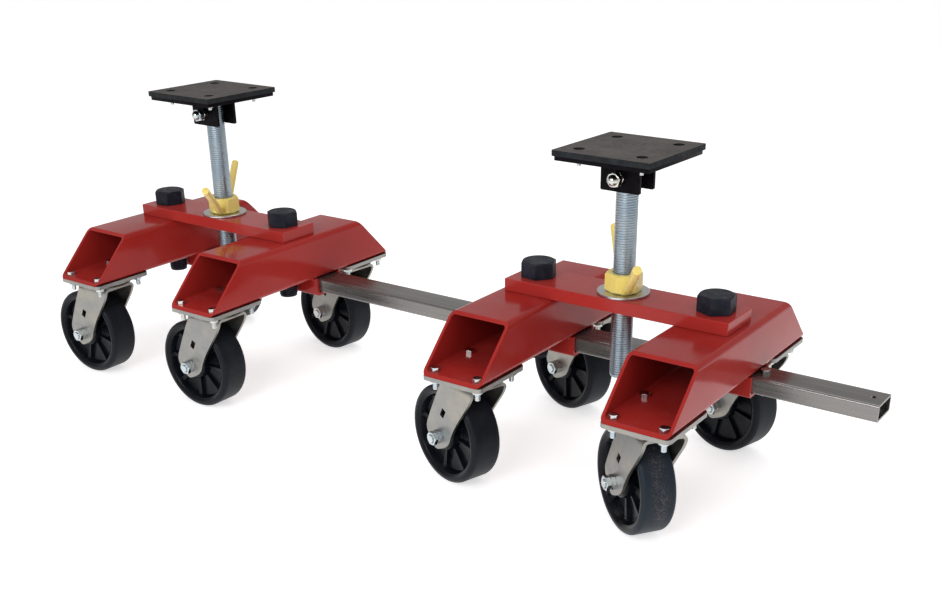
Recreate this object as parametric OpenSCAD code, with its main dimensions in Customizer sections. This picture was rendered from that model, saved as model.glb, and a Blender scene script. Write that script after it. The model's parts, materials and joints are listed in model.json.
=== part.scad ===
// Two screw-jack carriages that stand on swivel casters and slide along one flat rail.
// Millimetres, +Z up. The rail runs along X, the beams run along Y, and the front is -Y.
// The origin is on the floor, half way between the carriages and on the beams' middle.

/* [Carriages] */
// Distance of each carriage's centre from the middle of the rail
carriage_x = 408; // [380:1:420]
// Distance of each beam's centre from its carriage's centre
beam_x = 144.2; // [140:0.1:150]
// Width of the rectangular tube of a beam
beam_w = 101.6; // [101.6:0.1:104]
// Height of the rectangular tube of a beam
beam_h = 76.2; // [70:0.1:90]
// Wall of a beam
beam_wall = 4.8; // [3:0.1:6]
// Outer corner radius of a beam
beam_r = 9; // [6:0.5:12]
// Length of a beam along its underside
beam_len = 443; // [430:1:480]

/* [Bar and big bolts] */
// How far behind the beams' middle the bar and the jack rod stand
bar_y = 4.2; // [0:0.1:6]
// Length of the bar that ties the two beams together
bar_len = 360; // [350:1:380]
// Width of the bar
bar_w = 76.2; // [70:0.1:90]
// Thickness of the bar
bar_t = 19; // [16:0.5:22]
// Height of a big bolt's head
bolt_head_h = 24.8; // [18:0.1:26]
// How far a big bolt's shank reaches below the underside of the beams
bolt_tail = 31.8; // [10:0.1:31.8]

/* [Jack] */
// Outer diameter of the jack rod and of the big bolts
rod_d = 31.75; // [28:0.05:32]
// Across the flats of the jack nut and of the big bolts' heads
nut_af = 47.6; // [46:0.1:50]
// Height of the jack nut
nut_h = 27; // [22:0.5:32]
// Outer diameter of the washer under the jack nut
washer_d = 76.2; // [70:0.1:80]
// Thickness of that washer
washer_t = 4; // [3:0.5:6]
// Height of the right pad's top above the floor
right_pad_z = 489.2; // [460:0.1:520]
// Height of the left pad's top above the floor
left_pad_z = 499.2; // [460:0.1:520]
// Height of the lower end of the right jack rod
right_rod_z = 155.2; // [150:0.1:170]
// Length of a handle on the jack nut
handle_len = 101; // [90:1:110]
// Diameter of a handle
handle_d = 12.7; // [10:0.1:14]
// Rise of a handle above level
handle_rise = 35; // [33:1:45]
// Which way the right nut's first handle points, from +X
right_nut_turn = -52.7; // [-180:0.1:180]
// Which way the left nut's first handle points, from +X
left_nut_turn = -56.6; // [-180:0.1:180]

/* [Saddles] */
// Side of the square pad
pad_w = 153; // [150:1:160]
// Thickness of the pad
pad_t = 8; // [6:0.5:10]
// Side of the square plate under the pad
plate_w = 147; // [140:1:150]
// Thickness of that plate
plate_t = 6.35; // [5:0.05:8]
// Spacing of the four screws in the pad
pad_hole_pitch = 98; // [90:1:102]
// How far a saddle is turned about the upright, at rest
saddle_yaw = -1.9; // [-2:0.1:0]
// Width of an ear of the yoke
ear_w = 62; // [50:1:64]
// Height of an ear
ear_h = 44; // [34:0.5:46]
// Thickness of an ear
ear_t = 4.76; // [4:0.01:5]
// Drop from the pad's top to the pivot bolt
pivot_drop = 38.6; // [38:0.1:40]

/* [Rail] */
// Length of the rail
rail_len = 1560; // [1500:10:1700]
// Width of the rail, front to back
rail_w = 50.8; // [50:0.1:52]
// Height of the rail
rail_h = 25.4; // [24:0.1:26]
// Wall of the rail
rail_wall = 3.2; // [2.5:0.1:4]
// How far behind the beams' middle the rail runs
rail_y = 56; // [56:0.5:60]
// Wall of the channels that hold the rail
channel_wall = 4.76; // [4:0.01:5]

/* [Casters] */
// Overall height of a caster, which is the underside of the beams
caster_h = 187; // [187:0.5:193]
// Diameter of a wheel
wheel_d = 152.4; // [150:0.1:154]
// Width of a wheel
wheel_w = 50.8; // [46:0.1:51]
// How far the wheel trails behind the swivel
trail = 44.8; // [42:0.1:46]
// Spacing of the plate's bolts along X
bolts_x = 73.5; // [72:0.5:74]
// Spacing of the plate's bolts along Y
bolts_y = 84; // [80:0.5:85]

/* [Hidden] */
$fn = 64;
gap = 0.4;             // between a screw and its hole in the same body
fit = 0.05;            // running fit on a radius
beam_z = caster_h;
bar_z = beam_z + beam_h;
bar_top = bar_z + bar_t;
nut_z = bar_top + washer_t;
rod_r = rod_d / 2;
rail_z = beam_z - 0.5;
channel_play = 0.8;
channel_floor = rail_z - rail_h - 0.5;
rod_len = right_pad_z - pivot_drop + 15.5 - right_rod_z;
left_rod_z = right_rod_z + left_pad_z - right_pad_z;
yoke_gap = 33;
plate_len = 114.3;
plate_thick = 6.35;
caster_y = beam_len / 2 - plate_len / 2;
ring_z = caster_h - 14.5; // underside of the swivel race, where the fork starts
leg_t = 4.76;
leg_out = 32.4;        // outer face of a fork leg from the wheel's mid-plane
axle_z = wheel_d / 2;
axle_d = 12.7;
sleeve_d = 19.05;
caster_bolt_d = 7.94;
caster_bolt_af = 12.7;
keeper_x = carriage_x + beam_x + beam_w / 2 + 7;
end_hole_x = rail_len / 2 - 17;
rail_hole_r = 4.35;

red = [0.60, 0.13, 0.11];
bright_red = [0.66, 0.17, 0.15];
zinc = [0.64, 0.66, 0.68];
warm_zinc = [0.66, 0.64, 0.58];
steel = [0.50, 0.46, 0.43];
black = [0.09, 0.09, 0.10];
dark_bolt = [0.16, 0.17, 0.20];
yellow = [0.86, 0.76, 0.36];
brown_pad = [0.33, 0.30, 0.28];

sides = ["left", "right"];
corners = ["front_left", "front_right", "rear_left", "rear_right"];
// Which way each wheel trails, from +X, in the order of sides and corners
trail_turn = [[181.5, 180.5, 172, 173.7], [163.8, 144.3, 161.4, 165]];
carriage_parts = ["left_beam", "right_beam", "rail_channels", "crossbar", "crossbar_bolts",
    "washer", "jack_nut", "jack_rod", "saddle", "pad", "pad_screws", "pivot_bolt",
    "caster_fasteners"];
caster_parts = ["plate", "fork", "axle", "wheel"];

function sx(side) = side == 0 ? -1 : 1;
function cx(corner) = corner % 2 == 0 ? -1 : 1;
function cy(corner) = corner < 2 ? -1 : 1;
function pad_z(side) = side == 0 ? left_pad_z : right_pad_z;
function pivot_z(side) = pad_z(side) - pivot_drop;

// Rounded rectangle, centred
module rounded(w, h, r) {
    polygon([for (k = [0 : 3], a = [0 : 15 : 90])
        [(k == 0 || k == 3 ? 1 : -1) * (w / 2 - r) + r * cos(a + 90 * k),
         (k < 2 ? 1 : -1) * (h / 2 - r) + r * sin(a + 90 * k)]]);
}

// Hexagonal prism with its flats square to X, standing on z = 0
module hex(af, h) {
    rotate(30) cylinder(d = af / cos(30), h = h, $fn = 6);
}

// Cone-shaped chamfer that takes the corners off the top of a hexagon
module chamfered_hex(af, h, cut_bottom = false) {
    r = af / cos(30) / 2;
    c = r - af / 2 * 0.97;
    intersection() {
        hex(af, h);
        rotate_extrude() polygon([[0, 0], [cut_bottom ? r - c : r + 1, 0],
            [cut_bottom ? r : r + 1, cut_bottom ? c * 0.55 : 0.01],
            [r, h - c * 0.55], [r - c, h], [0, h]]);
    }
}

module screw(d, length, af, head_h) {
    translate([0, 0, -length]) cylinder(d = d, h = length);
    chamfered_hex(af, head_h);
}

module nut(d, af, h) {
    difference() {
        chamfered_hex(af, h, true);
        translate([0, 0, -1]) cylinder(r = d / 2 + fit, h = h + 2);
    }
}

// ---- Rail ----

module rail() {
    color(steel) difference() {
        translate([-rail_len / 2, rail_y, rail_z - rail_h / 2]) rotate([90, 0, 90])
            linear_extrude(rail_len) difference() {
                rounded(rail_w, rail_h, 4);
                rounded(rail_w - 2 * rail_wall, rail_h - 2 * rail_wall, 1);
            }
        for (s = [-1, 1], x = [end_hole_x, keeper_x])
            translate([s * x, rail_y, rail_z - rail_h - 1])
                cylinder(r = rail_hole_r, h = rail_h + 2);
    }
}

module keeper_bolts() {
    color(zinc) for (s = [-1, 1]) translate([s * keeper_x, rail_y, rail_z]) {
        screw(7.94, rail_h + 9, 12.7, 5.3);
        translate([0, 0, -rail_h - 6.8]) nut(7.94, 12.7, 6.8);
    }
}

// ---- Carriage frame ----

module beam(side, s) {
    half = beam_len / 2;
    color(red) translate([sx(side) * carriage_x + s * beam_x, 0, beam_z]) difference() {
        intersection() {
            translate([0, half, beam_h / 2]) rotate([90, 0, 0]) linear_extrude(beam_len)
                difference() {
                    rounded(beam_w, beam_h, beam_r);
                    rounded(beam_w - 2 * beam_wall, beam_h - 2 * beam_wall, beam_r - beam_wall);
                }
            translate([-beam_w, 0, 0]) rotate([90, 0, 90]) linear_extrude(2 * beam_w)
                polygon([[-half, 0], [half, 0], [half - beam_h, beam_h], [beam_h - half, beam_h]]);
        }
        translate([0, bar_y, -1]) cylinder(r = rod_r + gap, h = beam_h + 2);
        for (c = [-1, 1]) translate([0, c * caster_y, -1]) plate_holes(beam_wall + 4);
    }
}

module rail_channels(side) {
    in_w = rail_w + 2 * channel_play;
    out_w = in_w + 2 * channel_wall;
    depth = beam_z - channel_floor;
    color(red) for (s = [-1, 1])
        translate([sx(side) * carriage_x + s * beam_x - beam_w / 2, rail_y, 0])
            rotate([90, 0, 90]) linear_extrude(beam_w) difference() {
                translate([-out_w / 2, channel_floor - channel_wall])
                    square([out_w, depth + channel_wall]);
                translate([-in_w / 2, channel_floor]) square([in_w, depth + 1]);
            }
}

module crossbar(side) {
    color(bright_red) translate([sx(side) * carriage_x, bar_y, bar_z]) difference() {
        translate([-bar_len / 2, -bar_w / 2, 0]) cube([bar_len, bar_w, bar_t]);
        for (x = [-beam_x, 0, beam_x]) translate([x, 0, -1])
            cylinder(r = rod_r + gap, h = bar_t + 2);
    }
}

module crossbar_bolts(side) {
    length = bar_top - beam_z + bolt_tail;
    turn = [[-22, -8], [-38, -54]];
    color(dark_bolt) for (k = [0, 1])
        translate([sx(side) * carriage_x + (2 * k - 1) * beam_x, bar_y, bar_top])
            rotate(turn[side][k]) {
                screw(rod_d, length, nut_af, bolt_head_h);
                translate([0, 0, -bar_t - beam_wall - nut_h]) nut(rod_d, nut_af, nut_h);
            }
}

// ---- Jack ----

module washer(side) {
    color(zinc) translate([sx(side) * carriage_x, bar_y, bar_top]) difference() {
        cylinder(d = washer_d, h = washer_t);
        translate([0, 0, -1]) cylinder(r = rod_r + gap + 0.4, h = washer_t + 2);
    }
}

// The handles are round bars cut to the nut's flats and welded there
module jack_nut(side) {
    start_r = 29.2;
    start_z = 5.6;
    root = 7;
    turn = side == 0 ? left_nut_turn : right_nut_turn;
    color(yellow) translate([sx(side) * carriage_x, bar_y, nut_z]) rotate(turn) difference() {
        union() {
            chamfered_hex(nut_af, nut_h, true);
            intersection() {
                for (k = [0, 180]) rotate(k) translate([start_r, 0, start_z])
                    rotate([0, 90 - handle_rise, 0]) translate([0, 0, -root])
                        cylinder(d = handle_d, h = handle_len + root);
                translate([-200, -50, 0.3]) cube([400, 100, 200]);
            }
        }
        translate([0, 0, -1]) cylinder(r = rod_r + fit, h = nut_h + 2);
    }
}

module jack_rod(side) {
    z = side == 0 ? left_rod_z : right_rod_z;
    chamfer = 2;
    color(zinc) translate([sx(side) * carriage_x, bar_y, 0]) difference() {
        translate([0, 0, z]) rotate_extrude() polygon([[0, 0], [rod_r - chamfer, 0],
            [rod_r, chamfer], [rod_r, rod_len - chamfer], [rod_r - chamfer, rod_len],
            [0, rod_len]]);
        translate([0, 0, pivot_z(side)]) rotate([90, 0, saddle_yaw])
            cylinder(r = 6.35 + fit, h = 60, center = true);
    }
}

// ---- Saddle ----

module at_saddle(side) {
    translate([sx(side) * carriage_x, bar_y, pad_z(side)]) rotate(saddle_yaw) children();
}

module four(px, py) {
    for (x = [-1, 1], y = [-1, 1]) translate([x * px / 2, y * py / 2, 0]) children();
}

module saddle(side) {
    under = pad_t + plate_t;
    color(black) at_saddle(side) {
        translate([0, 0, -under]) difference() {
            translate([-plate_w / 2, -plate_w / 2, 0]) cube([plate_w, plate_w, plate_t]);
            translate([0, 0, -1]) four(pad_hole_pitch, pad_hole_pitch)
                cylinder(r = 3.4, h = plate_t + 2);
        }
        for (s = [-1, 1]) difference() {
            translate([-ear_w / 2, s * (yoke_gap + ear_t) / 2 - ear_t / 2, -under - ear_h])
                cube([ear_w, ear_t, ear_h + 0.5]);
            translate([0, 0, -pivot_drop]) rotate([90, 0, 0])
                cylinder(r = 6.35 + gap, h = 60, center = true);
        }
    }
}

module pad(side) {
    color(brown_pad) at_saddle(side) translate([0, 0, -pad_t]) difference() {
        linear_extrude(pad_t) rounded(pad_w, pad_w, 2);
        translate([0, 0, -1]) four(pad_hole_pitch, pad_hole_pitch)
            cylinder(r = 8, h = pad_t + 2);
    }
}

module pad_screws(side) {
    color(zinc) at_saddle(side) translate([0, 0, -pad_t]) four(pad_hole_pitch, pad_hole_pitch) {
        rotate_extrude() polygon([[0, 0], [6, 0], [6, 1.6], [4.6, 3.2], [2, 3.8], [0, 3.8]]);
        translate([0, 0, -plate_t - 9]) cylinder(r = 3, h = plate_t + 9.5);
        translate([0, 0, -plate_t - 5.2]) nut(6, 10, 5.2);
    }
}

// Head at the back, two nuts in front, the outer one domed
module pivot_bolt(side) {
    af = 19.05;
    face = yoke_gap / 2 + ear_t;
    dome_r = 8;
    nut_t = 9.5;
    color(zinc) at_saddle(side) translate([0, 0, -pivot_drop]) {
        translate([0, face, 0]) rotate([-90, 0, 0]) chamfered_hex(af, 8);
        rotate([90, 0, 0]) translate([0, 0, -face - 1]) cylinder(d = axle_d, h = 2 * face + 2 + nut_t);
        translate([0, -face, 0]) rotate([90, 0, 0]) nut(axle_d, af, nut_t);
        translate([0, -face - nut_t, 0]) rotate([90, 0, 0]) {
            chamfered_hex(af, nut_t);
            translate([0, 0, nut_t - 0.6]) rotate_extrude()
                polygon(concat([[0, 0]], [for (a = [0 : 10 : 90]) dome_r * [cos(a), sin(a)]]));
        }
    }
}

// ---- Casters ----

module plate_holes(h) {
    four(bolts_x, bolts_y) cylinder(r = caster_bolt_d / 2 + gap, h = h);
}

module at_caster(side, corner) {
    translate([sx(side) * carriage_x + cx(corner) * beam_x, cy(corner) * caster_y, 0]) children();
}

module caster_fasteners(side) {
    through = beam_wall + plate_thick;
    nut_t = 6.8;
    color(zinc) for (corner = [0 : 3]) at_caster(side, corner) four(bolts_x, bolts_y)
        translate([0, 0, beam_z + beam_wall]) {
            screw(caster_bolt_d, through + nut_t + 10, caster_bolt_af, 5.8);
            translate([0, 0, -through - nut_t]) nut(caster_bolt_d, caster_bolt_af, nut_t);
        }
}

// The plate carries the fixed half of the swivel race and the kingpin
module caster_plate(side, corner) {
    neck_r = 13;
    pin_r = 9;
    top = caster_h - plate_thick;
    color(warm_zinc) at_caster(side, corner) {
        translate([0, 0, top]) difference() {
            linear_extrude(plate_thick) rounded(beam_w, plate_len, 9);
            translate([0, 0, -1]) plate_holes(plate_thick + 2);
        }
        translate([0, 0, ring_z]) rotate_extrude() polygon([[0, top - ring_z + 0.5],
            [0, -15], [pin_r, -15], [pin_r, 1.5], [neck_r, 3.2], [neck_r + 10, 4.2],
            [38, 4.2], [40, 3.6], [42, 3.6], [42, top - ring_z + 0.5]]);
        translate([0, 0, ring_z - 14.5]) hex(26, 8);
    }
}

module at_fork(side, corner) {
    at_caster(side, corner) rotate(trail_turn[side][corner]) children();
}

module fork(side, corner) {
    crown_t = 5.5;
    outline = [[-35, ring_z - 0.5], [-36, 167], [-33, 159], [-29.5, 152], [1, 109.5], [9, 96.5],
        [16, 82.5], [19.5, 73.5], [26, 65.5], [38, 58.2], [47.5, 54.3], [51, 53.8], [54.5, 54.8],
        [65.5, 65.5], [73.5, 78], [74.6, 84.5], [73, 91.5], [66, 107], [45.5, 149], [40, 158.5],
        [37, 166], [35, ring_z - 0.5]];
    color(warm_zinc) at_fork(side, corner) difference() {
        union() {
            for (s = [-1, 1]) translate([0, s * (leg_out - leg_t / 2) + leg_t / 2, 0])
                rotate([90, 0, 0]) linear_extrude(leg_t) polygon(outline);
            translate([-35, -leg_out, ring_z - 0.5 - crown_t]) cube([70, 2 * leg_out, crown_t]);
            translate([0, 0, ring_z - 0.6]) rotate_extrude()
                polygon([[14, 0], [40, 0], [41, 1], [41, 2.2], [38, 3.2], [30, 3.6], [24, 3.2], [14, 1.2]]);
        }
        translate([0, 0, ring_z - 12]) cylinder(r = 9.8, h = 20);
        translate([33.5, 0, 117]) rotate([90, 0, 0]) rotate(27) linear_extrude(90, center = true)
            square([9, 14.5], center = true);
        translate([trail, 0, axle_z]) rotate([90, 0, 0])
            cylinder(r = axle_d / 2 + gap, h = 90, center = true);
    }
}

// A bolt, the sleeve that the wheel turns on, and two thin nuts
module axle(side, corner) {
    af = 19.05;
    nut_t = 7.2;
    inner = leg_out - leg_t;
    // The nuts are on the side that faces the front
    color(zinc) at_fork(side, corner) translate([trail, 0, axle_z]) rotate([-90, 0, 0]) {
        translate([0, 0, -leg_out - 8]) rotate_extrude()
            polygon([[0, 0], [8, 0], [9, 1.5], [9, 8], [0, 8]]);
        translate([0, 0, -leg_out - 1]) cylinder(d = axle_d, h = 2 * leg_out + 3 + 2 * nut_t);
        for (k = [0, 1]) translate([0, 0, leg_out + k * nut_t]) nut(axle_d, af, nut_t);
        difference() {
            cylinder(d = sleeve_d, h = 2 * inner - 0.2, center = true);
            cylinder(r = axle_d / 2 + fit, h = 2 * inner + 2, center = true);
        }
    }
}

module wheel(side, corner) {
    r = wheel_d / 2;
    half = wheel_w / 2;
    hub_r = 24;
    hub_half = 26.6;
    rim_r = 61;
    web = 5;
    rib_n = 8;
    shoulder = [for (a = [0 : 15 : 90]) [r - 7 + 7 * cos(a), half - 7 + 7 * sin(a)]];
    side_up = concat([[rim_r, web], [rim_r + 2.5, half]], [for (k = [6 : -1 : 0]) shoulder[k]]);
    color(black) at_fork(side, corner) translate([trail, 0, axle_z]) rotate([90, 0, 0])
        difference() {
            union() {
                rotate_extrude() polygon(concat(side_up,
                    [for (k = [len(side_up) - 1 : -1 : 0]) [side_up[k][0], -side_up[k][1]]]));
                rotate_extrude() translate([0, -web]) square([rim_r + 1, 2 * web]);
                cylinder(r = hub_r, h = 2 * hub_half, center = true);
                for (k = [0 : rib_n - 1]) rotate(360 / rib_n * (k + 0.5)) translate([10, -3, -half + 6])
                    cube([rim_r - 7, 6, 2 * (half - 6)]);
            }
            cylinder(r = sleeve_d / 2 + fit, h = 80, center = true);
        }
}

// ---- Drawing ----

module carriage_part(side, part) {
    if (part == "left_beam") beam(side, -1);
    if (part == "right_beam") beam(side, 1);
    if (part == "rail_channels") rail_channels(side);
    if (part == "crossbar") crossbar(side);
    if (part == "crossbar_bolts") crossbar_bolts(side);
    if (part == "washer") washer(side);
    if (part == "jack_nut") jack_nut(side);
    if (part == "jack_rod") jack_rod(side);
    if (part == "saddle") saddle(side);
    if (part == "pad") pad(side);
    if (part == "pad_screws") pad_screws(side);
    if (part == "pivot_bolt") pivot_bolt(side);
    if (part == "caster_fasteners") caster_fasteners(side);
}

module caster_part(side, corner, part) {
    if (part == "plate") caster_plate(side, corner);
    if (part == "fork") fork(side, corner);
    if (part == "axle") axle(side, corner);
    if (part == "wheel") wheel(side, corner);
}

rail();
keeper_bolts();
for (s = [0, 1], p = carriage_parts)
    carriage_part(s, p);
for (s = [0, 1], c = [0 : 3], p = caster_parts)
    caster_part(s, c, p);
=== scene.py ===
import json
import math
import random

import bmesh
import bpy
from mathutils import Matrix, Vector
from mathutils.geometry import tessellate_polygon


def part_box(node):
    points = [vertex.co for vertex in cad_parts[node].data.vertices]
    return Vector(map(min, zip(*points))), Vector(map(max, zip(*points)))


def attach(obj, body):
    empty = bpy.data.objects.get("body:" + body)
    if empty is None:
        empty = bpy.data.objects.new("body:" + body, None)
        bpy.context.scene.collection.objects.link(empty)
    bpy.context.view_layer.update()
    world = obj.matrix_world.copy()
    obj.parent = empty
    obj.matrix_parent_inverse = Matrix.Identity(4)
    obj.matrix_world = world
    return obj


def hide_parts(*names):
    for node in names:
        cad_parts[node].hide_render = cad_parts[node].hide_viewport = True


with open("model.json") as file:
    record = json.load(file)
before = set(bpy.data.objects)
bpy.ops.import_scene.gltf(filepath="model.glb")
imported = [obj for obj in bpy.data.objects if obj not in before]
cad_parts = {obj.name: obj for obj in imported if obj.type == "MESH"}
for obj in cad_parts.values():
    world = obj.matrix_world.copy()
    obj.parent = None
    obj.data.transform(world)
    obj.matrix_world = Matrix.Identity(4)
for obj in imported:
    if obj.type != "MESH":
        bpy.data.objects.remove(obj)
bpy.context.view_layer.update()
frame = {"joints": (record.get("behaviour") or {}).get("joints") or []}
MM = 0.001
SIDES = ("left", "right")
CORNERS = ("front_left", "front_right", "rear_left", "rear_right")

# Across flats, in mm: caster and keeper bolts, axle and pivot nuts, bar bolts and jack nuts
AF_SMALL, AF_MEDIUM, AF_LARGE = 12.7, 19.05, 47.6

# Radius and pitch of the small bolts' thread, and of the jack rods' and bar bolts'
SMALL_R, SMALL_PITCH = 3.97, 1.41
LARGE_R, LARGE_PITCH = 15.875, 3.629

BEAM_WALL = 4.8

# Turns an outline drawn in XY so that it stands upright: thickness along X, or along Y
ALONG_X = Matrix(((0, 0, 1, 0), (1, 0, 0, 0), (0, 1, 0, 0), (0, 0, 0, 1)))
ALONG_Y = Matrix(((1, 0, 0, 0), (0, 0, 1, 0), (0, 1, 0, 0), (0, 0, 0, 1)))


# ---------------------------------------------------------------- places

def box_mm(node):
    lo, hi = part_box(node)
    return lo / MM, hi / MM


def middle(node):
    lo, hi = box_mm(node)
    return (lo + hi) / 2


def joint(name):
    return next(j for j in frame["joints"] if j["name"] == name)


# ---------------------------------------------------------------- solids, in mm

class Solid:
    """Points and faces of one piece, put together from closed shapes."""

    def __init__(self):
        self.points = []
        self.faces = []

    def add(self, shape, matrix=None):
        points, faces = shape
        start = len(self.points)
        for p in points:
            p = Vector(p)
            self.points.append(matrix @ p if matrix else p)
        self.faces += [[start + i for i in f] for f in faces]
        return self


def placed(solid, matrix):
    """A copy of a solid, moved."""
    return Solid().add((solid.points, solid.faces), matrix)


def move(x=0, y=0, z=0):
    return Matrix.Translation((x, y, z))


def turn(degrees, axis="Z"):
    return Matrix.Rotation(math.radians(degrees), 4, axis)


def lathe(profile, n=64):
    """Revolves (radius, z) points about Z. A closed loop unless it ends on the axis."""
    points, faces, rings = [], [], []
    for r, z in profile:
        if r < 1e-6:
            rings.append([len(points)] * n)
            points.append((0, 0, z))
        else:
            rings.append(list(range(len(points), len(points) + n)))
            points += [(r * math.cos(2 * math.pi * k / n), r * math.sin(2 * math.pi * k / n), z)
                       for k in range(n)]
    on_axis = profile[0][0] < 1e-6 and profile[-1][0] < 1e-6
    pairs = list(zip(rings, rings[1:])) + ([] if on_axis else [(rings[-1], rings[0])])
    for a, b in pairs:
        for k in range(n):
            m = (k + 1) % n
            f = [a[k], a[m], b[m], b[k]]
            f = [v for i, v in enumerate(f) if v != f[i - 1]]
            if len(set(f)) > 2:
                faces.append(f)
    return points, faces


def prism(outline, z0, z1, holes=()):
    """Flat slab with any outline and holes."""
    loops = [list(outline)] + [list(h) for h in holes]
    flat = [p for loop in loops for p in loop]
    tris = tessellate_polygon([[Vector((x, y, 0)) for x, y in loop] for loop in loops])
    n = len(flat)
    points = [(x, y, z0) for x, y in flat] + [(x, y, z1) for x, y in flat]
    faces = [list(t) for t in tris] + [[i + n for i in t] for t in tris]
    start = 0
    for loop in loops:
        for k in range(len(loop)):
            a, b = start + k, start + (k + 1) % len(loop)
            faces.append([a, b, b + n, a + n])
        start += len(loop)
    return points, faces


def rectangle(w, h, r=0, steps=6):
    """Outline of a rectangle with round corners, centred."""
    if r == 0:
        return [(w / 2, -h / 2), (w / 2, h / 2), (-w / 2, h / 2), (-w / 2, -h / 2)]
    out = []
    for k, (sx, sy) in enumerate(((1, 1), (-1, 1), (-1, -1), (1, -1))):
        for i in range(steps + 1):
            a = math.radians(90 * k + 90 * i / steps)
            out.append((sx * (w / 2 - r) + r * math.cos(a), sy * (h / 2 - r) + r * math.sin(a)))
    return out


def circle(x, y, r, n=32):
    return [(x + r * math.cos(2 * math.pi * k / n), y + r * math.sin(2 * math.pi * k / n))
            for k in range(n)]


def hexagon(af, h, bore=0, top=True, bottom=False, per_side=12, chamfer=0.045):
    """Hexagonal head or nut whose corners are turned off, flats square to X."""
    n = 6 * per_side
    flat_r = af / 2 * (1 - chamfer)
    slope = math.tan(math.radians(28))
    rows = []
    for k in range(n):
        a = 2 * math.pi * k / n
        rh = af / 2 / math.cos((a + math.pi / 6) % (math.pi / 3) - math.pi / 6)
        cut = (rh - flat_r) * slope
        column = []
        if bottom:
            column += [(flat_r, 0), (rh, cut)]
        else:
            column += [(rh, 0)]
        column += [(rh, h - cut), (flat_r, h)] if top else [(rh, h)]
        if bore:
            lead = min(1.2, h / 5)
            column += [(bore + lead, h), (bore, h - lead), (bore, lead), (bore + lead, 0)]
        rows.append([(r * math.cos(a), r * math.sin(a), z) for r, z in column])
    m = len(rows[0])
    points = [p for row in rows for p in row]
    faces = []
    for k in range(n):
        j = (k + 1) % n
        for i in range(m - (0 if bore else 1)):
            i2 = (i + 1) % m
            faces.append([k * m + i, j * m + i, j * m + i2, k * m + i2])
    if not bore:
        faces.append([k * m for k in range(n)][::-1])
        faces.append([k * m + m - 1 for k in range(n)])
    return points, faces


def thread(r, pitch, z0, z1, depth=None, n=40):
    """A screw thread: closed core plus one closed ridge wound round it."""
    depth = depth or 0.29 * pitch
    core = r - depth
    lead = depth * 0.9
    out = Solid()
    out.add(lathe([(0, z0), (core - lead * 0.3, z0), (core, z0 + lead * 0.5),
                   (core, z1 - lead * 0.5), (core - lead * 0.3, z1), (0, z1)], n))
    turns = (z1 - z0) / pitch - 1.0
    steps = int(turns * n)
    points, faces = [], []
    for i in range(steps + 1):
        a = 2 * math.pi * i / n
        z = z0 + pitch * (i / n)
        fade = min(1, i / (n * 0.7), (steps - i) / (n * 0.7))
        crest = core - 0.2 + (r - core + 0.2) * fade
        for rr, dz in ((core - 0.3, 0.06), (crest, 0.33), (crest, 0.63), (core - 0.3, 0.90)):
            points.append((rr * math.cos(a), rr * math.sin(a), z + dz * pitch))
    for i in range(steps):
        for j in range(4):
            k = (j + 1) % 4
            faces.append([4 * i + j, 4 * i + 4 + j, 4 * i + 4 + k, 4 * i + k])
    faces.append([0, 1, 2, 3])
    faces.append([4 * steps + j for j in (3, 2, 1, 0)])
    out.add((points, faces))
    return out.points, out.faces


def bead(path, r, seed=0, ripple=2.2, sides=10):
    """A weld bead along a path: a closed tube with a ripple every few millimetres."""
    rng = random.Random(seed)
    pts = [Vector(p) for p in path]
    length = sum((b - a).length for a, b in zip(pts, pts[1:]))
    count = max(8, int(length / ripple * 4))
    stations = []
    for i in range(count + 1):
        s = length * i / count
        for a, b in zip(pts, pts[1:]):
            seg = (b - a).length
            if s <= seg + 1e-9:
                stations.append((a.lerp(b, s / seg), (b - a).normalized()))
                break
            s -= seg
    points, faces = [], []
    for i, (c, d) in enumerate(stations):
        side = d.orthogonal().normalized()
        up = d.cross(side)
        wave = 1 + 0.13 * math.sin(2 * math.pi * i / 4) + rng.uniform(-0.05, 0.05)
        end = min(i, count - i)
        rr = r * wave * (0.45 if end == 0 else 0.85 if end == 1 else 1)
        points += [c + (side * math.cos(t) + up * math.sin(t)) * rr
                   for t in (2 * math.pi * k / sides for k in range(sides))]
    for i in range(count):
        for k in range(sides):
            m = (k + 1) % sides
            faces.append([i * sides + k, i * sides + m, (i + 1) * sides + m, (i + 1) * sides + k])
    faces.append(list(range(sides))[::-1])
    faces.append([count * sides + k for k in range(sides)])
    return points, faces


# ---------------------------------------------------------------- pieces

def make(name, solid, material, body, stands_for=(), bevel=0.0, angle=24, segments=2,
         attributes=None):
    mesh = bpy.data.meshes.new(name)
    mesh.from_pydata([tuple(p * MM) for p in solid.points], [], solid.faces)
    bm = bmesh.new()
    bm.from_mesh(mesh)
    bmesh.ops.recalc_face_normals(bm, faces=bm.faces)
    bm.to_mesh(mesh)
    bm.free()
    for key, values in (attributes or {}).items():
        layer = mesh.attributes.new(key, "FLOAT", "POINT")
        layer.data.foreach_set("value", values)
    mesh.shade_smooth()
    mesh.set_sharp_from_angle(angle=math.radians(angle))
    ob = bpy.data.objects.new(name, mesh)
    bpy.context.scene.collection.objects.link(ob)
    mesh.materials.append(material)
    if bevel:
        add_bevel(ob, bevel, segments)
    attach(ob, body)
    if stands_for:
        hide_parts(*stands_for)
    return ob


def add_bevel(ob, width, segments=2):
    mod = ob.modifiers.new("edge", "BEVEL")
    mod.width = width * MM
    mod.segments = segments
    mod.limit_method = "ANGLE"
    mod.angle_limit = math.radians(40)
    mod.harden_normals = True
    mod.use_clamp_overlap = True


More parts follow.
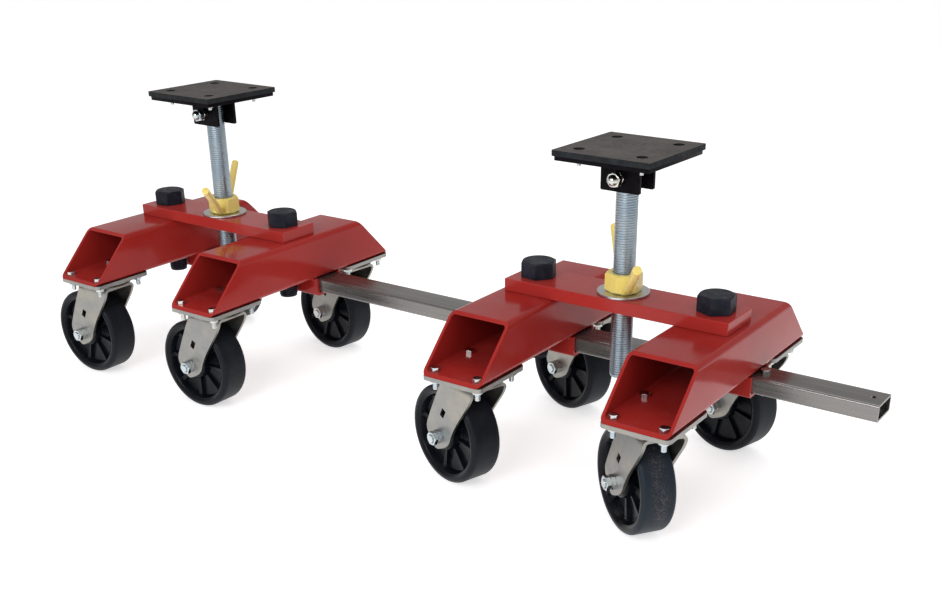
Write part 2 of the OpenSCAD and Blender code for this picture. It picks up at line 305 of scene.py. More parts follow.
def baked(solid, cutters=()):
    """The solid with cutters taken away, as plain points and faces."""
    def temp(s):
        me = bpy.data.meshes.new("tmp")
        me.from_pydata([tuple(p) for p in s.points], [], s.faces)
        bm = bmesh.new()
        bm.from_mesh(me)
        bmesh.ops.recalc_face_normals(bm, faces=bm.faces)
        bm.to_mesh(me)
        bm.free()
        ob = bpy.data.objects.new("tmp", me)
        bpy.context.scene.collection.objects.link(ob)
        return ob
    ob = temp(solid)
    tools = [temp(c) for c in cutters]
    for t in tools:
        mod = ob.modifiers.new("cut", "BOOLEAN")
        mod.operation = "DIFFERENCE"
        mod.solver = "EXACT"
        mod.object = t
    dg = bpy.context.evaluated_depsgraph_get()
    me = bpy.data.meshes.new_from_object(ob.evaluated_get(dg))
    out = Solid()
    out.points = [v.co.copy() for v in me.vertices]
    out.faces = [list(p.vertices) for p in me.polygons]
    for o in [ob, *tools]:
        bpy.data.objects.remove(o)
    bpy.data.meshes.remove(me)
    return out


# ---------------------------------------------------------------- materials

class Nodes:
    def __init__(self, name):
        self.material = bpy.data.materials.new(name)
        self.material.use_nodes = True
        self.tree = self.material.node_tree
        self.shader = self.tree.nodes["Principled BSDF"]
        coord = self.tree.nodes.new("ShaderNodeTexCoord")
        self.place = coord.outputs["Object"]
        self.normal = self.tree.nodes.new("ShaderNodeNewGeometry").outputs["Normal"]

    def set(self, **values):
        for key, value in values.items():
            self.shader.inputs[key.replace("_", " ").title().replace("Ior", "IOR")].default_value = value

    def link(self, a, b):
        self.tree.links.new(a, b)

    def stretch(self, x, y, z):
        n = self.tree.nodes.new("ShaderNodeMapping")
        n.inputs["Scale"].default_value = (x, y, z)
        self.link(self.place, n.inputs["Vector"])
        return n.outputs["Vector"]

    def noise(self, scale, detail=4, rough=0.55, place=None, distortion=0.0):
        n = self.tree.nodes.new("ShaderNodeTexNoise")
        n.inputs["Scale"].default_value = scale
        n.inputs["Detail"].default_value = detail
        n.inputs["Roughness"].default_value = rough
        n.inputs["Distortion"].default_value = distortion
        self.link(place or self.place, n.inputs["Vector"])
        return n.outputs["Fac"]

    def span(self, value, a, b, lo=0.0, hi=1.0):
        n = self.tree.nodes.new("ShaderNodeMapRange")
        n.interpolation_type = "SMOOTHSTEP"
        for key, v in zip(("From Min", "From Max", "To Min", "To Max"), (a, b, lo, hi)):
            n.inputs[key].default_value = v
        self.link(value, n.inputs["Value"])
        return n.outputs["Result"]

    def math(self, op, a, b):
        n = self.tree.nodes.new("ShaderNodeMath")
        n.operation = op
        for socket, v in zip(n.inputs, (a, b)):
            if isinstance(v, (int, float)):
                socket.default_value = v
            else:
                self.link(v, socket)
        return n.outputs["Value"]

    def mix(self, factor, a, b):
        n = self.tree.nodes.new("ShaderNodeMix")
        n.data_type = "RGBA"
        self.link(factor, n.inputs["Factor"])
        for socket, v in ((n.inputs[6], a), (n.inputs[7], b)):
            if isinstance(v, tuple):
                socket.default_value = (*v, 1)
            else:
                self.link(v, socket)
        return n.outputs[2]

    def up(self, lo=0.3, hi=0.9):
        n = self.tree.nodes.new("ShaderNodeSeparateXYZ")
        self.link(self.normal, n.inputs[0])
        return self.span(n.outputs["Z"], lo, hi)

    def attribute(self, name):
        n = self.tree.nodes.new("ShaderNodeAttribute")
        n.attribute_name = name
        return n.outputs["Fac"]

    def colour(self, value):
        self.link(value, self.shader.inputs["Base Color"])

    def roughness(self, value):
        self.link(value, self.shader.inputs["Roughness"])

    def bump(self, *layers):
        """Layers of (height, strength, distance in metres)."""
        last = None
        for height, strength, distance in layers:
            n = self.tree.nodes.new("ShaderNodeBump")
            n.inputs["Strength"].default_value = strength
            n.inputs["Distance"].default_value = distance
            self.link(height, n.inputs["Height"])
            if last:
                self.link(last, n.inputs["Normal"])
            last = n.outputs["Normal"]
        self.link(last, self.shader.inputs["Normal"])


def red_paint(name, deep, light):
    m = Nodes(name)
    dust = m.math("MULTIPLY", m.up(0.7, 0.98), m.span(m.noise(26, 6, 0.65), 0.40, 0.85, 0.0, 0.05))
    base = m.mix(m.span(m.noise(5, 5), 0.3, 0.7), deep, light)
    scuff = m.span(m.noise(130, 8, 0.8), 0.715, 0.74, 0.0, 0.35)
    m.colour(m.mix(scuff, m.mix(dust, base, (0.42, 0.36, 0.35)), (0.50, 0.30, 0.26)))
    m.roughness(m.span(m.noise(24, 5), 0.3, 0.7, 0.10, 0.20))
    m.bump((m.noise(300, 2), 0.05, 0.0003), (m.noise(9, 2), 0.30, 0.0018),
           (m.noise(38, 2), 0.10, 0.0006))
    m.set(specular_ior_level=0.19)
    return m.material


def plated(name, cool, warm, rough, fine=500, dull=0.0, stains=0.5):
    m = Nodes(name)
    base = m.mix(m.span(m.noise(28, 5, 0.6), 0.3, 0.7), cool, warm)
    stain = m.span(m.noise(75, 6, 0.7), 0.50, 0.78, 0.0, stains)
    m.colour(m.mix(stain, base, tuple(0.62 * c for c in warm)))
    m.roughness(m.span(m.noise(60, 5), 0.3, 0.7, *rough))
    m.bump((m.noise(fine, 2), 0.05, 0.0002), (m.noise(90, 3), 0.05 + dull, 0.0002))
    m.set(metallic=1.0)
    return m.material


def yellow_paint():
    m = Nodes("yellow_paint")
    base = m.mix(m.span(m.noise(40, 4), 0.3, 0.7), (0.76, 0.58, 0.14), (0.84, 0.67, 0.19))
    chip = m.span(m.noise(170, 3, 0.7), 0.71, 0.75, 0.0, 0.6)
    m.colour(m.mix(chip, base, (0.25, 0.17, 0.05)))
    m.roughness(m.span(m.noise(60, 4), 0.3, 0.7, 0.28, 0.42))
    m.bump((m.noise(260, 2), 0.15, 0.0005), (m.noise(60, 3), 0.2, 0.0006))
    m.set(specular_ior_level=0.5, coat_weight=0.15, coat_roughness=0.2)
    return m.material


def black_oxide():
    m = Nodes("black_oxide")
    base = m.mix(m.span(m.noise(70, 5), 0.35, 0.7), (0.006, 0.008, 0.015), (0.016, 0.018, 0.028))
    dust = m.math("MULTIPLY", m.up(0.6, 0.95), m.span(m.noise(120, 6, 0.7), 0.4, 0.75, 0.0, 0.12))
    m.colour(m.mix(dust, base, (0.10, 0.075, 0.055)))
    m.roughness(m.span(m.noise(90, 5), 0.3, 0.7, 0.42, 0.60))
    m.bump((m.noise(420, 3), 0.25, 0.0003), (m.noise(90, 4), 0.25, 0.0005))
    m.set(specular_ior_level=0.17)
    return m.material


def black_paint():
    m = Nodes("black_paint")
    base = m.mix(m.span(m.noise(50, 5), 0.35, 0.7), (0.0028, 0.0020, 0.0030), (0.0065, 0.0050, 0.0070))
    m.colour(base)
    m.roughness(m.span(m.noise(70, 5), 0.3, 0.7, 0.24, 0.42))
    m.bump((m.noise(300, 2), 0.12, 0.0004))
    m.set(specular_ior_level=0.04)
    return m.material


def pad_rubber():
    m = Nodes("pad_rubber")
    side = m.mix(m.span(m.noise(80, 5), 0.3, 0.7), (0.006, 0.0075, 0.009), (0.013, 0.0155, 0.018))
    scuffed = m.mix(m.span(m.noise(16, 8, 0.70), 0.30, 0.72), (0.060, 0.054, 0.050),
                    (0.098, 0.088, 0.082))
    m.colour(m.mix(m.up(0.5, 0.9), side, scuffed))
    m.roughness(m.span(m.noise(110, 5), 0.3, 0.7, 0.66, 0.85))
    weave = m.noise(900, 2, 0.5, m.stretch(1, 0.15, 1))
    m.bump((weave, 0.22, 0.0003), (m.noise(55, 6, 0.7), 0.20, 0.0006))
    m.set(specular_ior_level=0.22)
    return m.material


def rail_steel():
    m = Nodes("rail_steel")
    streak = m.noise(1, 6, 0.6, m.stretch(2.0, 190, 190))
    patch = m.span(m.noise(7, 6, 0.65, m.stretch(0.5, 1.6, 1.6)), 0.46, 0.66)
    base = m.mix(m.span(streak, 0.25, 0.75), (0.185, 0.174, 0.168), (0.25, 0.238, 0.230))
    m.colour(m.mix(patch, base, (0.155, 0.115, 0.092)))
    m.roughness(m.span(streak, 0.2, 0.8, 0.20, 0.32))
    m.bump((streak, 0.05, 0.0002), (m.noise(240, 3), 0.05, 0.0003))
    m.set(metallic=0.9)
    return m.material


def wheel_black(name, worn):
    m = Nodes(name)
    base = m.mix(m.span(m.noise(45, 4), 0.3, 0.7), (0.0024, 0.0032, 0.0052), (0.0060, 0.0070, 0.0100))
    speck = m.span(m.noise(420, 8, 0.8), 0.46, 0.62)
    patch = m.span(m.noise(38, 6, 0.7), 0.38, 0.62, 0.15, 1.0)
    rubbed = m.math("MULTIPLY", speck, m.attribute("band"))
    wear = m.math("MULTIPLY", rubbed, m.math("MULTIPLY", patch, worn))
    haze = m.math("MULTIPLY", m.span(m.attribute("tread"), 0.0, 0.6), 0.05 + 0.40 * worn)
    dusty = m.mix(haze, base, (0.026, 0.038, 0.054))
    m.colour(m.mix(wear, dusty, (0.105, 0.088, 0.088)))
    m.roughness(m.span(m.math("ADD", m.attribute("tread"), m.noise(70, 4)), 0.3, 1.6, 0.24, 0.46))
    m.bump((m.noise(330, 3), 0.10, 0.0004), (speck, 0.08, 0.0003))
    m.set(specular_ior_level=0.13)
    return m.material


RED = red_paint("red_paint", (0.300, 0.0180, 0.0150), (0.340, 0.0225, 0.0180))
# A lighter copy of the red paint, used on the crossbar plate whose front faces the key light: painted
# light, not a different paint.
RED_LIT_COPY = red_paint("red_paint_lit_copy", (0.350, 0.0250, 0.0210), (0.390, 0.0310, 0.0250))
ZINC = plated("zinc_plate", (0.33, 0.40, 0.46), (0.40, 0.45, 0.48), rough=(0.30, 0.40), stains=0.2)
FASTENER = plated("fastener_zinc", (0.50, 0.57, 0.62), (0.58, 0.58, 0.53), rough=(0.12, 0.24),
                  stains=0.15)
CASTER = plated("caster_zinc", (0.270, 0.275, 0.275), (0.340, 0.320, 0.280), rough=(0.34, 0.48),
                fine=300, dull=0.04, stains=0.25)
WASHER = plated("washer_zinc", (0.50, 0.51, 0.50), (0.58, 0.57, 0.54), rough=(0.26, 0.38), stains=0.4)
YELLOW = yellow_paint()
OXIDE = black_oxide()
BLACK = black_paint()
RUBBER = pad_rubber()
STEEL = rail_steel()
WHEEL_NEW = wheel_black("wheel_resin", 0.12)
WHEEL_WORN = wheel_black("wheel_resin_worn", 1.0)


# ---------------------------------------------------------------- rail

def build_rail():
    lo, hi = box_mm("rail")
    w, h = hi.y - lo.y, hi.z - lo.z
    wall = 3.2
    cy, cz = (lo.y + hi.y) / 2, (lo.z + hi.z) / 2
    keep = middle("keeper_bolts")
    k_lo, k_hi = box_mm("keeper_bolts")
    outer = rectangle(w, h, 4, 6)
    inner = rectangle(w - 2 * wall, h - 2 * wall, 1.2, 3)
    tube = Solid()
    tube.add(prism(outer, lo.x, hi.x, [inner[::-1]]), move(0, cy, cz) @ ALONG_X)
    cutters = []
    for s in (-1, 1):
        for x in (hi.x - 17, k_hi.x - 6.35):
            drill = lathe([(0, lo.z - 5), (4.35, lo.z - 5), (4.35, hi.z + 5), (0, hi.z + 5)], 32)
            cutters.append(Solid().add(drill, move(s * x, cy, 0)))
    make("rail_tube", baked(tube, cutters), STEEL, "rail", ["rail"], bevel=0.5)
    bolts = Solid()
    for s in (-1, 1):
        at = move(s * (k_hi.x - 6.35), cy, hi.z)
        bolts.add(hexagon(AF_SMALL, 5.3, top=True), at)
        bolts.add(thread(SMALL_R, SMALL_PITCH, -(h + 9), 0.2, n=20), at)
        bolts.add(hexagon(AF_SMALL, 6.8, bore=3.7, bottom=True), at @ move(z=-h - 6.8))
    make("rail_keeper_bolts", bolts, FASTENER, "rail", ["keeper_bolts"], bevel=0.25)


# ---------------------------------------------------------------- carriage

def beam_tube(cx, half, z, w, h, wall):
    outer = rectangle(w, h, 9, 8)
    inner = rectangle(w - 2 * wall, h - 2 * wall, 9 - wall, 8)
    n = len(outer)
    points, faces = [], []
    for loop in (outer, inner):
        for s in (-1, 1):
            points += [(cx + x, s * (half - (y + h / 2)), z + y + h / 2) for x, y in loop]
    fo, ro, fi, ri = 0, n, 2 * n, 3 * n
    for k in range(n):
        m = (k + 1) % n
        faces.append([fo + k, fo + m, ro + m, ro + k])
        faces.append([fi + m, fi + k, ri + k, ri + m])
        faces.append([fo + m, fo + k, fi + k, fi + m])
        faces.append([ro + k, ro + m, ri + m, ri + k])
    return points, faces


def build_frame(side):
    body = f"{side}_carriage"
    for s in ("left", "right"):
        node = f"{side}_{s}_beam"
        lo, hi = box_mm(node)
        tube = Solid().add(beam_tube((lo.x + hi.x) / 2, hi.y, lo.z, hi.x - lo.x, hi.z - lo.z,
                                      BEAM_WALL))
        make(f"{side}_{s}_beam_tube", tube, RED, body, [node], bevel=0.6)

    node = f"{side}_crossbar"
    lo, hi = box_mm(node)
    c = (lo + hi) / 2
    beams = [middle(f"{side}_{s}_beam").x - c.x for s in ("left", "right")]
    bar = Solid().add(prism(rectangle(hi.x - lo.x, hi.y - lo.y), lo.z, hi.z,
                            [circle(x, 0, 16.3)[::-1] for x in (beams[0], 0, beams[1])]),
                      move(c.x, c.y, 0))
    # The crossbar plate takes the lighter red copy: painted light on its key-lit front.
    make(f"{side}_crossbar_plate", bar, RED_LIT_COPY, body, [node], bevel=1.0, segments=3)

    node = f"{side}_rail_channels"
    lo, hi = box_mm(node)
    wall = 4.76
    cy = (lo.y + hi.y) / 2
    w = hi.y - lo.y
    channel = Solid()
    welds = Solid()
    for s in ("left", "right"):
        b_lo, b_hi = box_mm(f"{side}_{s}_beam")
        o, i = w / 2, w / 2 - wall
        h = hi.z - lo.z
        rnd = 3.5
        outline = [(-o, h), (-o, rnd)]
        outline += [(-o + rnd - rnd * math.cos(math.radians(a)), rnd - rnd * math.sin(math.radians(a)))
                    for a in (22.5, 45, 67.5)]
        outline += [(-o + rnd, 0), (o - rnd, 0)]
        outline += [(o - rnd + rnd * math.sin(math.radians(a)), rnd - rnd * math.cos(math.radians(a)))
                    for a in (22.5, 45, 67.5)]
        outline += [(o, rnd), (o, h), (i, h), (i, wall), (-i, wall), (-i, h)]
        channel.add(prism(outline, b_lo.x, b_hi.x), move(0, cy, lo.z) @ ALONG_X)
        for k, y in enumerate((lo.y - 0.6, hi.y + 0.6)):
            welds.add(bead([(b_lo.x + 6, y, hi.z - 1.2), (b_hi.x - 6, y, hi.z - 1.2)], 2.6,
                           seed=len(side) * 7 + k))
    make(f"{side}_rail_channel_pair", channel, RED, body, [node], bevel=0.6)
    make(f"{side}_channel_welds", welds, RED, body, angle=70)


def build_big_bolts(side):
    node = f"{side}_crossbar_bolts"
    lo, hi = box_mm(node)
    bar_lo, bar_hi = box_mm(f"{side}_crossbar")
    turns = {"left": (-22, -8), "right": (-38, -54)}[side]
    cy = (bar_lo.y + bar_hi.y) / 2
    bolts = Solid()
    for k, s in enumerate(("left", "right")):
        at = move(middle(f"{side}_{s}_beam").x, cy, bar_hi.z) @ turn(turns[k])
        bolts.add(lathe([(0, -0.2), (22.8, -0.2), (22.8, 0.9), (0, 0.9)], 64), at)
        bolts.add(hexagon(AF_LARGE, hi.z - bar_hi.z - 0.7, top=True), at @ move(z=0.7))
        bolts.add(thread(LARGE_R, LARGE_PITCH, lo.z - bar_hi.z, -60, n=36), at)
        bolts.add(lathe([(0, -62), (15.8, -62), (15.8, 0), (0, 0)], 48), at)
        bolts.add(hexagon(AF_LARGE, 27, bore=13.6, bottom=True),
                  at @ move(z=-(bar_hi.z - bar_lo.z) - BEAM_WALL - 27))
    make(f"{side}_bar_bolts", bolts, OXIDE, f"{side}_carriage", [node], bevel=0.5)


def build_jack(side):
    rod_lo, rod_hi = box_mm(f"{side}_jack_rod")
    c = (rod_lo + rod_hi) / 2
    rod = Solid().add(thread(LARGE_R, LARGE_PITCH, rod_lo.z, rod_hi.z, n=48), move(c.x, c.y, 0))
    make(f"{side}_threaded_rod", rod, ZINC, f"{side}_jack_rod", [f"{side}_jack_rod"],
         angle=50)

    lo, hi = box_mm(f"{side}_washer")
    r = (hi.x - lo.x) / 2
    e = 0.8
    washer = Solid().add(lathe([(16.8, lo.z), (r - e, lo.z), (r, lo.z + e), (r, hi.z - e),
                                (r - e, hi.z), (17.4, hi.z), (16.8, hi.z - 0.6)], 96),
                         move(c.x, c.y, 0))
    make(f"{side}_jack_washer", washer, WASHER, f"{side}_carriage",
         [f"{side}_washer"], bevel=0.2)

    lo, hi = box_mm(f"{side}_jack_nut")
    nut = Solid()
    welds = Solid()
    aim = {"left": -56.6, "right": -52.7}[side]
    nut.add(hexagon(AF_LARGE, 27, bore=15.95, bottom=True), move(c.x, c.y, lo.z) @ turn(aim))
    length, rr = 101, 6.35
    for k in (0, 180):
        at = move(c.x, c.y, lo.z) @ turn(aim + k) @ move(29.2, 0, 5.6) @ turn(55, "Y")
        e = 0.9
        bar = lathe([(0, -7), (rr, -7), (rr, length - e), (rr - 0.3, length - 0.25),
                     (rr - e, length), (0, length)], 40)
        pts = []
        for p in bar[0]:
            q = at @ Vector(p)
            pts.append((q.x, q.y, max(q.z, lo.z + 0.3)))
        nut.add((pts, bar[1]))
        ring = []
        for i in range(25):
            a = 2 * math.pi * i / 24
            y, z = 7.2 * math.cos(a), 7.2 * math.sin(a) * 1.2
            ring.append((24.3, y, max(1.9, 3.9 + z)))
        welds.add(bead(ring, 1.7, seed=k + len(side), ripple=1.8, sides=8),
                  move(c.x, c.y, lo.z) @ turn(aim + k))
    make(f"{side}_jack_nut_with_handles", nut, YELLOW, f"{side}_jack_nut",
         [f"{side}_jack_nut"], bevel=0.5)
    make(f"{side}_jack_nut_welds", welds, YELLOW, f"{side}_jack_nut", angle=70)


def build_saddle(side):
    body = f"{side}_saddle"
    hinge = joint(f"{side}_saddle_tilt")
    yaw = math.degrees(math.atan2(-hinge["axis"][0], hinge["axis"][1]))
    px, py, pz = (v / MM for v in hinge["pos_m"])
    top = box_mm(f"{side}_pad")[1].z
    at = move(px, py, top) @ turn(yaw)
    pitch = 98

    def holes(r, n=32):
        return [circle(sx * pitch / 2, sy * pitch / 2, r, n)[::-1] for sx in (-1, 1) for sy in (-1, 1)]

    pad = Solid().add(prism(rectangle(153, 153, 2.5, 4), -8, 0, holes(8)), at)
    make(f"{side}_saddle_pad", pad, RUBBER, body, [f"{side}_pad"], bevel=0.9,
         segments=3)

    plate = Solid().add(prism(rectangle(147, 147, 1.5, 3), -14.35, -8, holes(3.4, 20)), at)
    welds = Solid()
    drop = top - pz
    for s in (-1, 1):
        y0, y1 = sorted((s * 16.5, s * 21.26))
        low, w = -14.35 - 44, 62 / 2
        r = 1.5
        outline = [(-w, -14.2), (-w, low + r), (-w + r, low), (w - r, low), (w, low + r), (w, -14.2)]
        plate.add(prism(outline, y0, y1, [circle(0, -drop, 6.75)[::-1]]), at @ ALONG_Y)
        welds.add(bead([(-w + 1, s * 22.0, -15.2), (w - 1, s * 22.0, -15.2)], 2.4, seed=s + 3), at)
    make(f"{side}_saddle_yoke", plate, BLACK, body, [f"{side}_saddle"], bevel=0.6)
    make(f"{side}_saddle_welds", welds, BLACK, body, angle=70)

    screws = Solid()
    for sx in (-1, 1):
        for sy in (-1, 1):
            p = at @ move(sx * pitch / 2, sy * pitch / 2, -8) @ turn(17 * sx + 40 * sy)
            screws.add(lathe([(0, 0), (6, 0), (6, 1.4), (5.6, 2.3), (4.7, 3.1), (3.2, 3.6),
                              (1.9, 3.7), (1.9, 2.2), (0, 2.2)], 32), p)
            screws.add(thread(3.0, 1.0, -15.3, -4, n=18), p)
            screws.add(hexagon(10, 5.2, bore=2.8, bottom=True, per_side=6), p @ move(z=-11.55))
            screws.add(lathe([(0, -6.6), (2.9, -6.6), (2.9, 0.3), (0, 0.3)], 20), p)
    make(f"{side}_saddle_screws", screws, FASTENER, body, [f"{side}_pad_screws"],
         bevel=0.15)

    bolt = Solid()
    low = at @ move(z=-drop)
    f = 21.26
    bolt.add(hexagon(AF_MEDIUM, 8, top=True), low @ move(y=f) @ turn(-90, "X") @ turn(10))
    bolt.add(lathe([(0, -f - 1), (6.3, -f - 1), (6.3, f + 8.5), (0, f + 8.5)], 32),
             low @ turn(90, "X"))
    bolt.add(hexagon(AF_MEDIUM, 9.2, bore=6.4, bottom=True, chamfer=0.015),
             low @ move(y=-f) @ turn(90, "X") @ turn(36))
    bolt.add(hexagon(AF_MEDIUM, 9.0, top=True, bottom=True, chamfer=0.02),
             low @ move(y=-f - 9.5) @ turn(90, "X") @ turn(44))
    dome = [(8.0 * math.cos(math.radians(a)), 18.4 + 8.0 * math.sin(math.radians(a)))
            for a in range(0, 91, 9)]
    dome[-1] = (0, 18.4 + 8.0)
    bolt.add(lathe([(0, 12), (8.0, 12)] + dome, 40), low @ move(y=-f) @ turn(90, "X"))
    make(f"{side}_saddle_pivot", bolt, FASTENER, body, [f"{side}_pivot_bolt"],
         bevel=0.3)


# ---------------------------------------------------------------- casters

RING_Z = joint("left_caster_front_left_swivel")["pos_m"][2] / MM
LEG_OUT = 32.4
LEG_T = 4.76
TRAIL = 44.8
CASTER_BOLT_X, CASTER_BOLT_Y = 36.75, 42


def caster_plate_shape(w, l):
    s = Solid()
    s.add(prism(rectangle(w, l, 9, 8), -6.35, 0))
    top = -6.35
    s.add(lathe([(0, top + 1), (44.6, top + 1), (44, top - 1.6), (42.5, top - 2.8), (42, top - 4.2),
                 (40, top - 4.5), (37, top - 3.9), (24, top - 3.7), (13, top - 4.6), (9, top - 7),
                 (9, -29.3), (0, -29.3)], 72))
    s.add(hexagon(26, 7.6, top=True, bottom=True), move(z=-29))
    return s


def fork_shape():
    """One bent sheet: leg, bend, crown, bend, leg. The wheel trails along +X."""
    z_top = RING_Z - 0.5 - LEG_T / 2
    y_leg = LEG_OUT - LEG_T / 2
    bend = 6.5
    rows = [(53.9, 49, 53), (54.6, 46.5, 54.8), (56.5, 42, 57.2), (60, 34.6, 60.6), (65, 26.6, 65.2),
            (71, 21, 69.4), (78, 17.6, 73.4), (84.5, 15.3, 74.6), (91.5, 11.6, 73), (99, 7.6, 69.6),
            (109.5, 1, 64.8), (120, -6.5, 59.7), (131, -14.4, 54.3), (142, -22.3, 48.9),
            (149, -27.3, 45.3), (154, -30.3, 42.5), (158.5, -32.6, 40), (z_top - bend, -34.5, 38.0)]
    stations = [(y_leg, z, a, b, (1, 0)) for z, a, b in rows]
    for d in (15, 30, 45, 60, 75, 90):
        t = math.radians(d)
        stations.append((y_leg - bend + bend * math.cos(t), z_top - bend + bend * math.sin(t),
                         -34.5 - 0.5 * d / 90, 38.0 - 3.0 * d / 90, (math.cos(t), math.sin(t))))
    stations.append((0, z_top, -35, 35, (0, 1)))
    mirror = [(-y, z, a, b, (-ny, nz)) for y, z, a, b, (ny, nz) in reversed(stations[:-1])]
    stations += mirror
    cols = 14
    points, faces = [], []
    for y, z, a, b, (ny, nz) in stations:
        for off in (LEG_T / 2, -LEG_T / 2):
            for k in range(cols + 1):
                points.append((a + (b - a) * k / cols, y + ny * off, z + nz * off))
    row = 2 * (cols + 1)
    for i in range(len(stations) - 1):
        for k in range(cols):
            for lay in (0, cols + 1):
                p = i * row + lay + k
                faces.append([p, p + 1, p + row + 1, p + row])
        for k in (0, cols):
            p = i * row + k
            faces.append([p, p + row, p + row + cols + 1, p + cols + 1])
    for i in (0, len(stations) - 1):
        for k in range(cols):
            p = i * row + k
            faces.append([p, p + 1, p + cols + 2, p + cols + 1])
    sheet = Solid().add((points, faces))
    punch = Solid().add(prism(rectangle(9, 14.5, 0.8, 2), -60, 60),
                        move(33.5, 0, 117) @ turn(90, "X") @ turn(27))
    pin = Solid().add(lathe([(0, 140), (9.8, 140), (9.8, 200), (0, 200)], 32))
    s = baked(sheet, [punch, pin])
    base = RING_Z - 0.6
    s.add(lathe([(12, base - 0.6), (42, base - 0.6), (42.6, base + 0.5), (41.8, base + 2.2),
                 (40.2, base + 3.0), (38, base + 2.7), (36.6, base + 1.6), (30, base + 1.2),
                 (12, base + 0.8)], 72))
    return s


def axle_shape():
    """Along +Z towards the nuts, middle of the wheel at 0."""
    s = Solid()
    s.add(hexagon(AF_MEDIUM, 7.4, top=True), move(z=-LEG_OUT) @ turn(180, "X"))
    s.add(lathe([(0, -LEG_OUT - 1), (6.35, -LEG_OUT - 1), (6.35, LEG_OUT + 6), (0, LEG_OUT + 6)], 32))
    s.add(thread(6.3, 1.95, LEG_OUT - 1, LEG_OUT + 16.3, n=28))
    nut = hexagon(AF_MEDIUM, 7.05, bore=6.2, bottom=True, chamfer=0.012)
    s.add(nut, move(z=LEG_OUT) @ turn(34))
    s.add(nut, move(z=LEG_OUT + 7.2) @ turn(36))
    i = LEG_OUT - LEG_T
    s.add(lathe([(6.5, -i + 0.1), (9.5, -i + 0.1), (9.5, i - 0.1), (6.5, i - 0.1)], 32))
    return s


def wheel_shape():
    """Moulded wheel with pocketed sides, axle along Z. Returns the solid and its masks."""
    spokes = 8
    deg = [0, 2.4, 3.6, 4.4, 5.6, 7.2, 10, 14, 18, 22.5]
    sector = deg + [45 - d for d in deg[-2:0:-1]]
    angles = [(360 / spokes * k + d) for k in range(spokes) for d in sector]
    n = len(angles)

    def half_profile(d):
        """Side face from bore to shoulder, at d degrees from the middle of a spoke."""
        d = min(d % 45, 45 - d % 45)
        p = min(1.0, max(0.0, (d - 3.6) / 2.0))
        floor = 15.0 - p * 5.5
        lip = 17.0 - p * 5.5
        return [(9.62, 25.6), (10.4, 26.6), (20.5, 26.6), (22.6, 26.0), (23.8, 24.4),
                (24.6, max(floor, 22.0)), (25.4, floor + (1.2 if p else 0.4)), (27.5, floor),
                (42, floor - 0.4 * p), (56.5, floor), (59.0, floor + 1.0), (60.4, lip + 1.5),
                (61.4, 21.6), (62.6, 23.0), (64.2, 23.6), (66.0, 25.0), (67.6, 25.4)]

    shoulder = [(69.2 + 7 * math.sin(math.radians(a)), 18.4 + 7 * math.cos(math.radians(a)))
                for a in range(0, 91, 10)]
    tread = [(76.2, 13), (76.2, 8), (76.2, 3)]
    points, faces, mask, band = [], [], [], []
    rows = len(half_profile(0)) + len(shoulder) + len(tread)
    for a in angles:
        top = half_profile(a) + shoulder + tread
        loop = top + [(r, -z) for r, z in reversed(top)]
        t = math.radians(a)
        for r, z in loop:
            points.append((r * math.cos(t), r * math.sin(t), z))
            mask.append(max(0.0, min(1.0, (r - 70) / 5.5)))
            band.append(max(0.0, min(1.0, (15 - abs(z)) / 10)) if r > 75 else 0.0)
    m = 2 * rows
    for k in range(n):
        j = (k + 1) % n
        for i in range(m):
            i2 = (i + 1) % m
            faces.append([k * m + i, j * m + i, j * m + i2, k * m + i2])
    return Solid().add((points, faces)), {"tread": mask, "band": band}


def build_casters():
    fork, axle = fork_shape(), axle_shape()
    wheel, masks = wheel_shape()
    rng = random.Random(5)
    for side in SIDES:
        bolts = Solid()
        for corner in CORNERS:
            key = f"{side}_caster_{corner}"
            swivel, roll = joint(f"{key}_swivel"), joint(f"{key}_roll")
            x, y = swivel["pos_m"][0] / MM, swivel["pos_m"][1] / MM
            z_top = box_mm(f"{side}_left_beam")[0].z
            ax = roll["axis"]
            phi = math.degrees(math.atan2(-ax[0], ax[1]))
            at = move(x, y, 0) @ turn(phi)
            lo, hi = box_mm(f"{key}_plate")
            plate = caster_plate_shape(hi.x - lo.x, hi.y - lo.y)
            make(f"{key}_top_plate", placed(plate, move(x, y, z_top)), CASTER,
                 f"{side}_carriage", [f"{key}_plate"], bevel=0.8)
            make(f"{key}_yoke", placed(fork, at), CASTER, f"{key}_fork",
                 [f"{key}_fork"], bevel=0.7)
            hub = at @ move(TRAIL, 0, roll["pos_m"][2] / MM) @ turn(-90, "X")
            make(f"{key}_axle_bolt", placed(axle, hub), FASTENER,
                 f"{key}_fork", [f"{key}_axle"], bevel=0.3)
            material = WHEEL_WORN if (side, corner) == ("right", "front_right") else WHEEL_NEW
            make(f"{key}_wheel_moulding",
                 placed(wheel, hub @ turn(rng.uniform(0, 45))),
                 material, f"{key}_wheel", [f"{key}_wheel"], angle=38,
                 attributes=masks)
            for sx in (-1, 1):
                for sy in (-1, 1):
                    head = move(x + sx * CASTER_BOLT_X, y + sy * CASTER_BOLT_Y, z_top + BEAM_WALL)
                    p = head @ turn(rng.uniform(0, 60))
                    bolts.add(hexagon(AF_SMALL, 5.8, top=True, chamfer=0.03), p)
                    bolts.add(thread(SMALL_R, SMALL_PITCH, -27.9, -8, n=20), p)
                    bolts.add(lathe([(0, -12), (3.9, -12), (3.9, 0.5), (0, 0.5)], 24), p)
                    bolts.add(hexagon(AF_SMALL, 6.8, bore=3.7, bottom=True), p @ move(z=-17.95))
        make(f"{side}_caster_bolts", bolts, FASTENER, f"{side}_carriage",
             [f"{side}_caster_fasteners"], bevel=0.25)


build_rail()
for side in SIDES:
    build_frame(side)
    build_big_bolts(side)
    build_jack(side)
    build_saddle(side)
build_casters()


# ---------------------------------------------------------------- floor, light and camera

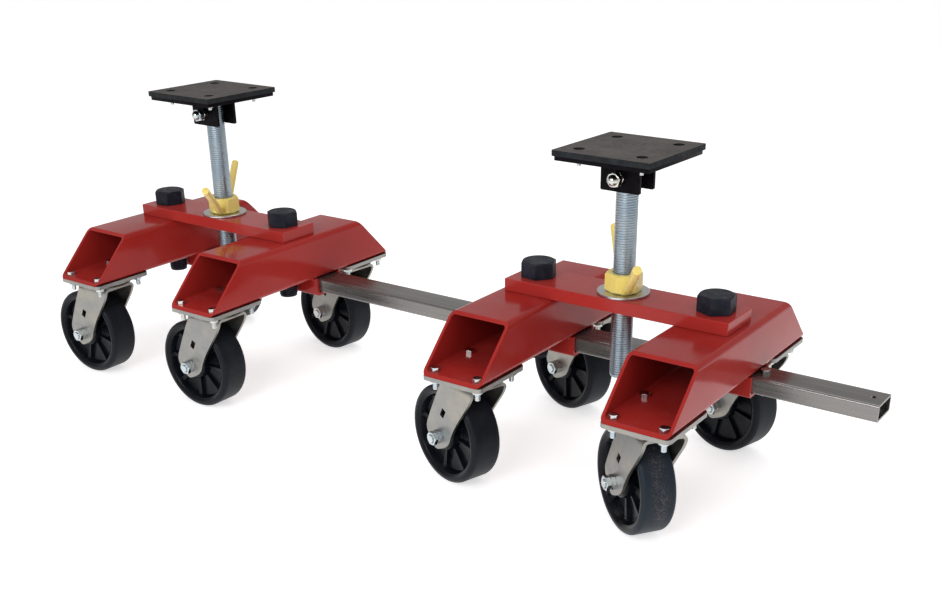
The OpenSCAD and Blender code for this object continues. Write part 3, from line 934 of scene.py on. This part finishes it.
def build_stage():
    mesh = bpy.data.meshes.new("floor")
    s = 14.0
    mesh.from_pydata([(-s, -s, 0), (s, -s, 0), (s, s, 0), (-s, s, 0)], [], [[0, 1, 2, 3]])
    floor = bpy.data.objects.new("floor", mesh)
    bpy.context.scene.collection.objects.link(floor)
    m = bpy.data.materials.new("floor_white")
    m.use_nodes = True
    shader = m.node_tree.nodes["Principled BSDF"]
    shader.inputs["Base Color"].default_value = (0.80, 0.80, 0.80, 1)
    shader.inputs["Emission Color"].default_value = (1, 1, 1, 1)
    shader.inputs["Emission Strength"].default_value = 0.60
    shader.inputs["Roughness"].default_value = 0.75
    shader.inputs["Specular IOR Level"].default_value = 0.2
    mesh.materials.append(m)


def build_world():
    world = bpy.data.worlds.new("studio")
    bpy.context.scene.world = world
    world.use_nodes = True
    tree = world.node_tree
    tree.nodes.clear()
    out = tree.nodes.new("ShaderNodeOutputWorld")
    back = tree.nodes.new("ShaderNodeBackground")
    coord = tree.nodes.new("ShaderNodeTexCoord")
    split = tree.nodes.new("ShaderNodeSeparateXYZ")
    ramp = tree.nodes.new("ShaderNodeValToRGB")
    ramp.color_ramp.elements[0].position = 0.5
    ramp.color_ramp.elements[0].color = (1.0, 1.0, 1.0, 1)
    ramp.color_ramp.elements[1].position = 1.0
    ramp.color_ramp.elements[1].color = (0.74, 0.74, 0.76, 1)
    scale = tree.nodes.new("ShaderNodeMath")
    scale.operation = "MULTIPLY_ADD"
    scale.inputs[1].default_value = 0.5
    scale.inputs[2].default_value = 0.5
    link = tree.links.new
    link(coord.outputs["Generated"], split.inputs[0])
    link(split.outputs["Z"], scale.inputs[0])
    link(scale.outputs[0], ramp.inputs[0])
    link(ramp.outputs[0], back.inputs["Color"])
    back.inputs["Strength"].default_value = 0.58
    link(back.outputs[0], out.inputs["Surface"])


def area(name, place, aim, size, power, colour=(1, 1, 1)):
    data = bpy.data.lights.new(name, "AREA")
    data.shape = "RECTANGLE"
    data.size, data.size_y = size
    data.energy = power
    data.color = colour
    ob = bpy.data.objects.new(name, data)
    ob.location = place
    ob.rotation_mode = "QUATERNION"
    ob.rotation_quaternion = (Vector(aim) - Vector(place)).to_track_quat("-Z", "Y")
    bpy.context.scene.collection.objects.link(ob)


def build_camera():
    data = bpy.data.cameras.new("camera")
    data.sensor_width = 36
    data.lens = 45.07
    data.shift_x = -0.0079
    data.shift_y = 0.1379
    data.clip_start, data.clip_end = 0.05, 60
    cam = bpy.data.objects.new("camera", data)
    bpy.context.scene.collection.objects.link(cam)
    cam.rotation_mode = "QUATERNION"
    look = turn(36.01) @ turn(90 - 25.03, "X") @ turn(-0.844)
    cam.rotation_quaternion = look.to_quaternion()
    cam.location = (1.1816, -1.4200, 0.8193)
    bpy.context.scene.camera = cam


build_stage()
build_world()
area("key", (0.5, -2.6, 1.7), (0, 0, 0.2), (1.6, 1.4), 44)
area("top", (0, 0.8, 3.0), (0, 0, 0), (3.5, 2.0), 27)
area("side", (3.0, -0.8, 2.7), (0.3, 0, 0.2), (0.9, 0.9), 5)
build_camera()
bpy.context.scene.view_settings.view_transform = "Standard"
